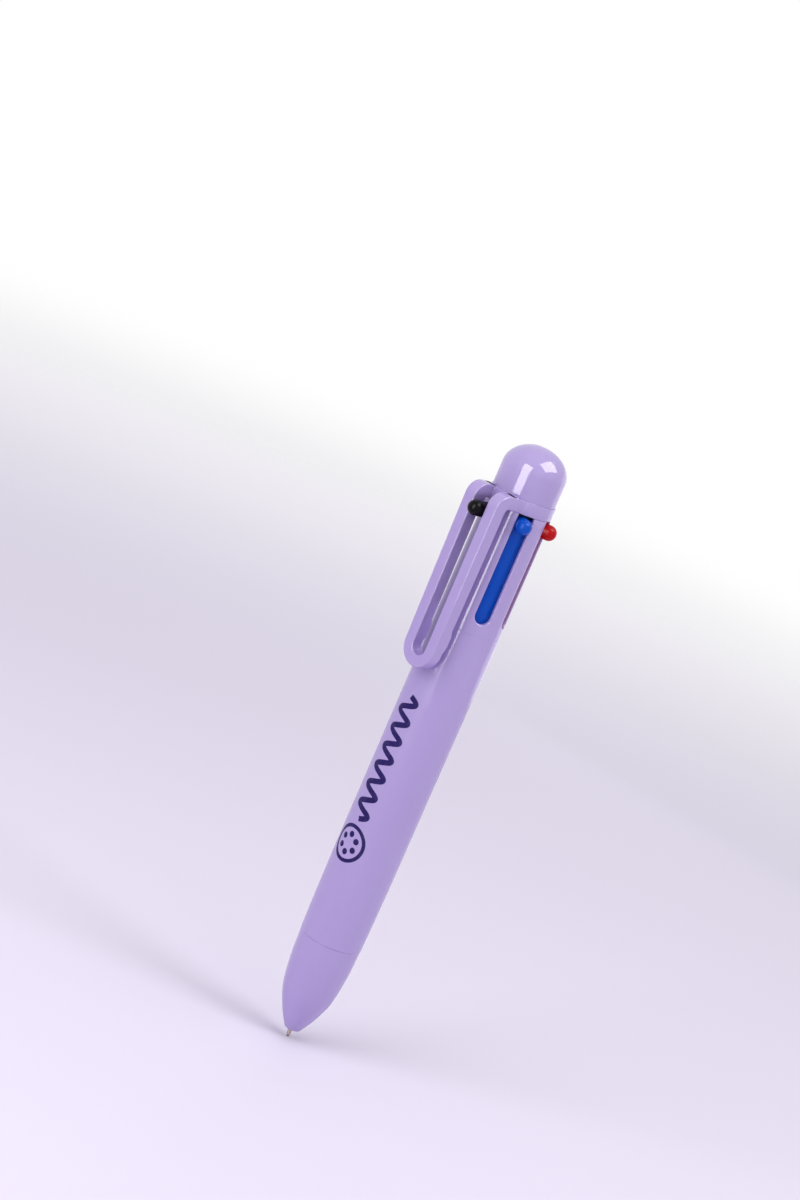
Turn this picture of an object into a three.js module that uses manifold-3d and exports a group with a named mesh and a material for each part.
// A six-colour click pen: +Z runs up the pen's axis, z = 0 is the open end of the nose, and the clip is
// on the -Y side. Each colour has a channel, its angle counted from the clip round towards +X. The orange
// refill is clicked down and sticks out of the nose, and the other five are up. Millimetres.
import * as THREE from 'three';
import { mergeVertices } from 'three/addons/utils/BufferGeometryUtils.js';
import Module from 'manifold-3d';

const wasm = await Module();
wasm.setup();

// Heights along the pen.
const noseTop = 22.5;
const noseSpigotTop = 30;
const shoulderZ = 63.5;
const plateTop = 65.5;
const spigotBottom = 91.5;
const seamZ = 98.9;
const slotBottom = 101.6;
const collarBottom = 127.1;
const collarTop = 130;
const domeBase = 135.35;
const domeTop = 141.15;

// Radii of the casing.
const barrelR = 7.5;
const barrelFrontR = 7.25;
const sleeveBore = 6.3;
const domeR = 7.28;
const domeWall = 1.3;
const noseSpigotR = 6.15;
const sleeveSpigotR = 6.85;
const capSpigotBore = 5.3;
const capSpigotBottom = 127.2;
const holeR = 1.5;
const clearance = 0.1;
const contactGap = 0.05;
const roundSides = 40;

// The six channels and what runs in them.
const channelR = 3.5;
const seatR = 0.63;
const travel = 18;
const slotWidth = 3.6;
const studR = 1.74;
const studZ = 124.6;
const studBallR = 8.2;
const blackStudBallR = 12.75;
const bladeHalfWidth = 2.15;
const bladeInner = 5.2;
const bladeOuter = 6.2;
const bladeTop = 126.1;
const footOuter = 5.9;
const footZ = 96;
const footHeight = 4;
const footInner = 2;
const footSpread = 27;
const toothZ = 120;
const toothHalf = 0.6;
const grooveHalf = 0.8;
const coreLow = 102.7;
const coreFlat = 5.05;
const coreHeadR = 5.15;
const coreHeadTop = 129.5;
const coreHollowR = 3.2;
const tubeR = 1.05;
const boreR = 0.7;
const tipZ = 15.4;
const tipLength = 15;
const plugLength = 4;
const swingAbove = 28.5;
const bendHalf = 8;
const ballR = 0.33;
const wireR = 0.16;
const coilTurns = 7;
const overcut = 2;

const channels = [
  { colour: 'black', angle: 0, seat: 330, ballCentre: blackStudBallR, down: 0 },
  { colour: 'blue', angle: 60, seat: 60, ballCentre: studBallR, down: 0 },
  { colour: 'red', angle: 120, seat: 150, ballCentre: studBallR, down: 0 },
  { colour: 'green', angle: 180, seat: 150, ballCentre: studBallR, down: 0 },
  { colour: 'orange', angle: 240, seat: 240, ballCentre: studBallR, down: travel },
  { colour: 'purple', angle: 300, seat: 330, ballCentre: studBallR, down: 0 },
];

// The pocket clip: two rails that meet in a round loop.
const clipFront = 12.2;
const clipFrontLow = 11.7;
const clipThick = 2.85;
const clipThickLow = 2.55;
const clipHalfTop = 5.1;
const clipHalfLow = 4.65;
const clipSlotTop = 2.07;
const clipSlotLow = 1.95;
const clipLoopZ = 92.5;
const clipBendR = 3.2;
const rootR = 8.05;
const rootGap = 0.3;
const padR = 8.5;

const plastic = (colour, roughness = 0.28) =>
  new THREE.MeshStandardMaterial({ color: colour, roughness, metalness: 0 });
const metal = (colour, roughness) =>
  new THREE.MeshStandardMaterial({ color: colour, roughness, metalness: 1 });
const lilac = plastic(0xb9a6dc);
const innerWhite = plastic(0xe4e1ea, 0.45);
const innerBlack = plastic(0x19171b, 0.45);
const tubePlastic = plastic(0xe9eaee, 0.35);
const steel = metal(0xb8bac0, 0.3);
const nickelSilver = metal(0xc9bfae, 0.25);
const carbide = metal(0x9a9ca2, 0.15);
const sliderColours = {
  black: plastic(0x1b181e),
  blue: plastic(0x0c55c4),
  red: plastic(0xb00d12),
  green: plastic(0x0f8a4a),
  orange: plastic(0xf07018),
  purple: plastic(0x6a2596),
};

const radians = THREE.MathUtils.degToRad;
const smooth = (t) => t * t * (3 - 2 * t);

// A geometry with shared corners, no flat triangles and its faces pointing out.
function closed(geometry) {
  const bare = geometry.index ? geometry.toNonIndexed() : geometry.clone();
  bare.deleteAttribute('normal');
  bare.deleteAttribute('uv');
  const merged = mergeVertices(bare, 1e-4);
  const corners = merged.index.array;
  const kept = [];
  for (let i = 0; i < corners.length; i += 3) {
    const [a, b, c] = [corners[i], corners[i + 1], corners[i + 2]];
    if (a !== b && b !== c && c !== a) kept.push(a, b, c);
  }
  merged.setIndex(kept);
  if (volume(merged) < 0) merged.setIndex(kept.reverse());
  return merged;
}

function volume(geometry) {
  const position = geometry.attributes.position;
  const corners = geometry.index.array;
  const [a, b, c] = [new THREE.Vector3(), new THREE.Vector3(), new THREE.Vector3()];
  let total = 0;
  for (let i = 0; i < corners.length; i += 3) {
    a.fromBufferAttribute(position, corners[i]);
    b.fromBufferAttribute(position, corners[i + 1]);
    c.fromBufferAttribute(position, corners[i + 2]);
    total += a.dot(b.cross(c)) / 6;
  }
  return total;
}

function solid(geometry) {
  const tidy = closed(geometry);
  const vertProperties = new Float32Array(tidy.attributes.position.array);
  const triVerts = new Uint32Array(tidy.index.array);
  return new wasm.Manifold(new wasm.Mesh({ numProp: 3, vertProperties, triVerts }));
}

function geometryOf(body) {
  const mesh = body.getMesh();
  const geometry = new THREE.BufferGeometry();
  geometry.setAttribute('position', new THREE.BufferAttribute(mesh.vertProperties, 3));
  geometry.setIndex(new THREE.BufferAttribute(mesh.triVerts, 1));
  return closed(geometry);
}

// A profile of [radius, height] points turned about the pen's axis.
function turned(profile, sides = roundSides) {
  const points = profile.map(([r, z]) => new THREE.Vector2(r, z));
  return closed(new THREE.LatheGeometry(points, sides).rotateX(Math.PI / 2));
}

// An outline in x and y, raised from one height to another.
function raised(outline, low, high) {
  const shape = outline instanceof THREE.Shape ? outline : shapeOf(outline);
  const depth = high - low;
  return closed(new THREE.ExtrudeGeometry(shape, { depth, bevelEnabled: false }).translate(0, 0, low));
}

// An outline in x and z, pushed out towards -Y from one distance to another.
function pushedOut(outline, near, far) {
  return raised(outline, near, far).rotateX(Math.PI / 2);
}

function shapeOf(points) {
  return new THREE.Shape(points.map(([x, y]) => new THREE.Vector2(x, y)));
}

// Points of an arc about a centre, from one angle to another in degrees.
function arc(centreX, centreY, radiusX, radiusY, from, to, steps) {
  const points = [];
  for (let i = 0; i <= steps; i += 1) {
    const angle = radians(from + ((to - from) * i) / steps);
    points.push([centreX + radiusX * Math.cos(angle), centreY + radiusY * Math.sin(angle)]);
  }
  return points;
}

function aroundAxis(geometry, degrees) {
  return geometry.clone().rotateZ(radians(degrees));
}

const pen = new THREE.Group();

function addMesh(name, geometry, material, parent = pen) {
  const mesh = new THREE.Mesh(geometry, material);
  mesh.name = name;
  parent.add(mesh);
  return mesh;
}

function noseCone() {
  const outside = [
    [holeR, 0], [holeR + 0.25, 0], [holeR + 0.5, 0.35], [2.42, 1.3], [3.35, 2.7], [4.38, 4.8],
    [5.38, 7.1], [5.82, 8.7], [6.3, 11.4], [6.66, 14.3], [6.88, 16.6], [7.1, noseTop - clearance],
  ];
  const inside = [
    [noseSpigotR, noseTop - clearance], [noseSpigotR, noseSpigotTop], [5.4, noseSpigotTop], [5.75, 20],
    [5.75, 14.3], [5.3, 11.4], [4.35, 7.6], [3.2, 4.8], [2.15, 2.7], [1.75, 1.5], [holeR, 0.3], [holeR, 0],
  ];
  addMesh('nose_cone', turned([...outside, ...inside]), lilac);
}

function frontBarrel() {
  const noseSocketR = noseSpigotR + clearance;
  const sleeveSocketR = sleeveSpigotR + contactGap;
  const profile = [
    [noseSocketR, noseTop], [barrelFrontR - 0.12, noseTop], [barrelFrontR, noseTop + 0.15], [7.4, 37],
    [barrelR, 80], [barrelR, seamZ - contactGap], [sleeveSocketR, seamZ - contactGap],
    [sleeveSocketR, spigotBottom - clearance], [sleeveBore + clearance, spigotBottom - clearance],
    [sleeveBore + clearance, shoulderZ], [6, shoulderZ], [6, noseSpigotTop + 1],
    [noseSocketR, noseSpigotTop + 1], [noseSocketR, noseTop],
  ];
  addMesh('front_barrel', turned(profile), lilac);
}

// One slot, round at the bottom and open at the top, where the collar closes it.
function slotCutter(angle) {
  const half = slotWidth / 2;
  const outline = [
    ...arc(0, slotBottom + half, half, half, 180, 360, 12), [half, collarTop], [-half, collarTop],
  ];
  return solid(aroundAxis(pushedOut(outline, bladeInner, barrelR + 1), angle));
}

function upperSleeve() {
  let sleeve = solid(turned([
    [sleeveBore, spigotBottom], [sleeveSpigotR, spigotBottom], [sleeveSpigotR, seamZ], [barrelR, seamZ],
    [barrelR, collarBottom - contactGap], [sleeveBore, collarBottom - contactGap], [sleeveBore, spigotBottom],
  ]));
  for (const channel of channels) sleeve = sleeve.subtract(slotCutter(channel.angle));
  addMesh('upper_sleeve', geometryOf(sleeve), lilac);
}

// The ring that closes the slots, with the two stubs that the clip's rails spring from.
function clipCollar() {
  const bore = sleeveBore + clearance;
  const stubR = rootR - rootGap;
  const stubBack = -bladeInner;
  const ring = solid(turned([
    [0, collarBottom], [barrelR, collarBottom], [barrelR, collarTop], [0, collarTop],
  ]));
  const stubs = [-1, 1].map((side) => solid(raised([
    [side * clipSlotTop, -stubR], [side * clipHalfTop, -stubR],
    [side * clipHalfTop, stubBack], [side * clipSlotTop, stubBack],
  ], collarBottom, collarTop)));
  const low = collarBottom - overcut;
  const high = collarTop + overcut;
  const cut = solid(turned([[0, low], [bore, low], [bore, high], [0, high]]));
  addMesh('clip_collar', geometryOf(ring.add(stubs[0]).add(stubs[1]).subtract(cut)), lilac);
}

// The arm's side outline, as distance from the pen's axis and height.
function clipSide() {
  const low = clipLoopZ - clipHalfLow;
  const inner = clipFrontLow - clipThickLow;
  const outline = [
    ...arc(clipFront - clipBendR, collarTop - clipBendR, clipBendR, clipBendR, 0, 90, 6),
    [rootR, collarTop], [rootR, collarBottom], [8.6, collarBottom],
    [9.15, 126.7], [clipFront - clipThick, 125.9],
    [inner, 98.2], [padR, 97.2], [padR, 94.4], [inner, 93.2], [inner, low + 0.4],
    [inner + 0.4, low], [clipFrontLow - 0.9, low], [clipFrontLow, low + 0.9],
  ];
  return outline.map(([r, z]) => [-r, z]);
}

// The arm seen from the front: a tapered strap with a round end, and the long slot through it.
function clipFace(halfTop, halfLow, loopZ, topZ) {
  return [...arc(0, loopZ, halfLow, halfLow, 180, 360, 16), [halfTop, topZ], [-halfTop, topZ]];
}

function clipArm() {
  const halfWide = clipHalfTop + 1;
  const side = raised(clipSide(), -halfWide, halfWide).rotateX(Math.PI / 2).rotateZ(Math.PI / 2);
  const strap = solid(pushedOut(clipFace(clipHalfTop, clipHalfLow, clipLoopZ, collarTop + 1), 6, 14));
  const slot = solid(pushedOut(clipFace(clipSlotTop, clipSlotLow, clipLoopZ + 0.2, collarTop + 2), 5, 15));
  addMesh('clip_arm', geometryOf(solid(side).intersect(strap).subtract(slot)), lilac);
}

function endCap() {
  const rise = domeTop - domeBase;
  const outer = arc(0, domeBase, domeR, rise, 0, 90, 8);
  const inner = arc(0, domeBase, domeR - domeWall, rise - domeWall, 90, 0, 5);
  outer[outer.length - 1][0] = 0;
  inner[0][0] = 0;
  const profile = [
    ...inner, [capSpigotBore, 132.5], [capSpigotBore, capSpigotBottom], [sleeveBore, capSpigotBottom],
    [sleeveBore, collarTop + contactGap], [domeR, collarTop + contactGap], ...outer,
  ];
  addMesh('end_cap', turned(profile), lilac);
}

// The hexagonal post between the slides, grooved for their latch teeth and hollow from below.
function guideCore() {
  const low = coreLow - overcut;
  const hollowTop = coreHeadTop - overcut;
  const cornerR = coreFlat / Math.cos(radians(30));
  const corners = arc(0, 0, cornerR, cornerR, 0, 300, 5);
  let core = solid(raised(corners, coreLow, bladeTop + 0.4));
  core = core.add(solid(turned([
    [0, bladeTop], [coreHeadR, bladeTop], [coreHeadR, coreHeadTop], [0, coreHeadTop],
  ])));
  core = core.subtract(solid(turned([
    [0, low], [coreHollowR, low], [coreHollowR, hollowTop], [0, hollowTop],
  ], 24)));
  for (const channel of channels) {
    const groove = pushedOut([
      [-grooveHalf, low], [grooveHalf, low], [grooveHalf, bladeTop], [-grooveHalf, bladeTop],
    ], coreFlat - toothHalf, coreHeadR + 1);
    core = core.subtract(solid(aroundAxis(groove, channel.angle)));
  }
  addMesh('guide_core', geometryOf(core), innerBlack);
}

// The disc that the springs stand on, with a hole for each refill.
function springPlate() {
  let plate = solid(turned([
    [0, shoulderZ + contactGap], [sleeveBore, shoulderZ + contactGap], [sleeveBore, plateTop], [0, plateTop],
  ]));
  const holeRadius = tubeR + 0.25;
  const low = shoulderZ - overcut;
  const high = plateTop + overcut;
  const hole = turned([[0, low], [holeRadius, low], [holeRadius, high], [0, high]], 12);
  plate = plate.subtract(solid(hole));
  for (const channel of channels) {
    plate = plate.subtract(solid(aroundAxis(hole.clone().translate(0, -channelR, 0), channel.angle)));
  }
  addMesh('spring_plate', geometryOf(plate), innerWhite);
}

// A slide is its blade, its foot with the peg for the refill, its latch tooth and its round stud.
function slide(ballCentre) {
  const edge = Math.asin(bladeHalfWidth / bladeOuter) * THREE.MathUtils.RAD2DEG;
  const blade = raised([
    [bladeHalfWidth, -bladeInner], [-bladeHalfWidth, -bladeInner],
    ...arc(0, 0, bladeOuter, bladeOuter, 270 - edge, 270 + edge, 6),
  ], footZ, bladeTop);
  const [from, to] = [270 - footSpread, 270 + footSpread];
  const foot = raised([
    ...arc(0, 0, footInner, footInner, to, from, 4), ...arc(0, 0, footOuter, footOuter, from, to, 8),
  ], footZ, footZ + footHeight);
  const tooth = pushedOut([
    [-toothHalf, toothZ - toothHalf], [toothHalf, toothZ - toothHalf],
    [toothHalf, toothZ + toothHalf], [-toothHalf, toothZ + toothHalf],
  ], bladeInner - toothHalf, bladeInner + 0.3);
  const pegR = boreR - contactGap;
  const peg = turned([[0, footZ - 5], [pegR, footZ - 5], [pegR, footZ + 1], [0, footZ + 1]], 12);
  const end = arc(0, ballCentre, studR, studR, 0, 90, 6);
  end[end.length - 1][0] = 0;
  const stud = turned([[0, bladeInner + 0.3], [studR, bladeInner + 0.3], ...end], 16);
  return geometryOf(solid(blade)
    .add(solid(foot))
    .add(solid(tooth))
    .add(solid(peg.translate(0, -channelR, 0)))
    .add(solid(stud.rotateX(Math.PI / 2).translate(0, 0, studZ))));
}

class Helix extends THREE.Curve {
  constructor(radius, low, high, turns) {
    super();
    Object.assign(this, { radius, low, high, turns });
  }

  getPoint(t, target = new THREE.Vector3()) {
    const angle = 2 * Math.PI * this.turns * t;
    const height = this.low + (this.high - this.low) * t;
    return target.set(this.radius * Math.cos(angle), this.radius * Math.sin(angle), height);
  }
}

function spring(top) {
  const end = wireR + 0.09;
  const path = new Helix(tubeR + 0.4, plateTop + end, top - end, coilTurns);
  const section = shapeOf(arc(0, 0, wireR, wireR, 0, 270, 3));
  return closed(new THREE.ExtrudeGeometry(section, {
    steps: coilTurns * 8, bevelEnabled: false, extrudePath: path,
  }));
}

// How far a channel's refill leans when it is down, and which way, so that its point finds its seat.
function lean(channel) {
  const home = new THREE.Vector2(0, -channelR).rotateAround(new THREE.Vector2(), radians(channel.angle));
  const seat = new THREE.Vector2(0, -seatR).rotateAround(new THREE.Vector2(), radians(channel.seat));
  const reach = seat.sub(home);
  const angle = channel.down > 0 ? Math.asin(reach.length() / swingAbove) : 0;
  const toward = reach.normalize();
  return { home, toward, angle, axis: new THREE.Vector3(toward.y, -toward.x, 0) };
}

// A refill's centre line from its top down, straight above the bend and leaning below it.
class RefillLine extends THREE.Curve {
  constructor(channel, top, bottom) {
    super();
    Object.assign(this, { ...lean(channel), top, bottom, pivot: tipZ + swingAbove - channel.down });
  }

  getPoint(t, target = new THREE.Vector3()) {
    const z = this.top + (this.bottom - this.top) * t;
    const below = this.pivot - z;
    const share = smooth(THREE.MathUtils.clamp((below + bendHalf) / (2 * bendHalf), 0, 1));
    const turn = this.angle * share;
    const aside = below * Math.sin(turn);
    return target.set(
      this.home.x + this.toward.x * aside,
      this.home.y + this.toward.y * aside,
      this.pivot - below * Math.cos(turn),
    );
  }
}

function refillTube(channel) {
  const path = new RefillLine(channel, footZ - contactGap - channel.down, tipZ + tipLength - channel.down);
  const ring = new THREE.Shape().absarc(0, 0, tubeR, 0, 2 * Math.PI);
  ring.holes.push(new THREE.Path().absarc(0, 0, boreR, 0, 2 * Math.PI, true));
  const steps = channel.down > 0 ? 16 : 1;
  return closed(new THREE.ExtrudeGeometry(ring, {
    steps, curveSegments: 5, bevelEnabled: false, extrudePath: path,
  }));
}

// The metal point, from its open mouth up to the plug inside the tube, with its end at height 0.
function metalPoint() {
  const mouthR = ballR + 0.02;
  const plugR = boreR - contactGap;
  const mouthZ = 0.42;
  return turned([
    [0, 0.8], [mouthR, 0.7], [mouthR, mouthZ], [0.41, mouthZ], [0.47, 1.2], [0.54, 2.3], [0.58, 4], [0.64, 6.5],
    [0.8, 10.5], [0.8, 12], [tubeR, 12.8], [tubeR, tipLength - contactGap], [plugR, tipLength - contactGap],
    [plugR, tipLength + plugLength], [0, tipLength + plugLength],
  ], 12);
}

function pointBall() {
  return closed(new THREE.SphereGeometry(ballR, 8, 6));
}

function addChannel(channel) {
  const { colour, angle, down } = channel;
  const slideMesh = addMesh(`${colour}_slide`, slide(channel.ballCentre), sliderColours[colour]);
  slideMesh.rotation.z = radians(angle);
  slideMesh.position.z = -down;
  const springMesh = addMesh(`${colour}_spring`, spring(footZ - down), steel);
  const { home, axis, angle: leanAngle } = lean(channel);
  springMesh.position.set(home.x, home.y, 0);
  addMesh(`${colour}_refill_tube`, refillTube(channel), tubePlastic);
  const swing = new THREE.Group();
  swing.position.set(home.x, home.y, tipZ + swingAbove - down);
  swing.quaternion.setFromAxisAngle(axis, leanAngle);
  pen.add(swing);
  addMesh(`${colour}_metal_point`, metalPoint(), nickelSilver, swing).position.z = -swingAbove;
  addMesh(`${colour}_point_ball`, pointBall(), carbide, swing).position.z = ballR + 0.02 - swingAbove;
}

noseCone();
frontBarrel();
upperSleeve();
clipCollar();
clipArm();
endCap();
guideCore();
springPlate();
for (const channel of channels) addChannel(channel);

export default pen;
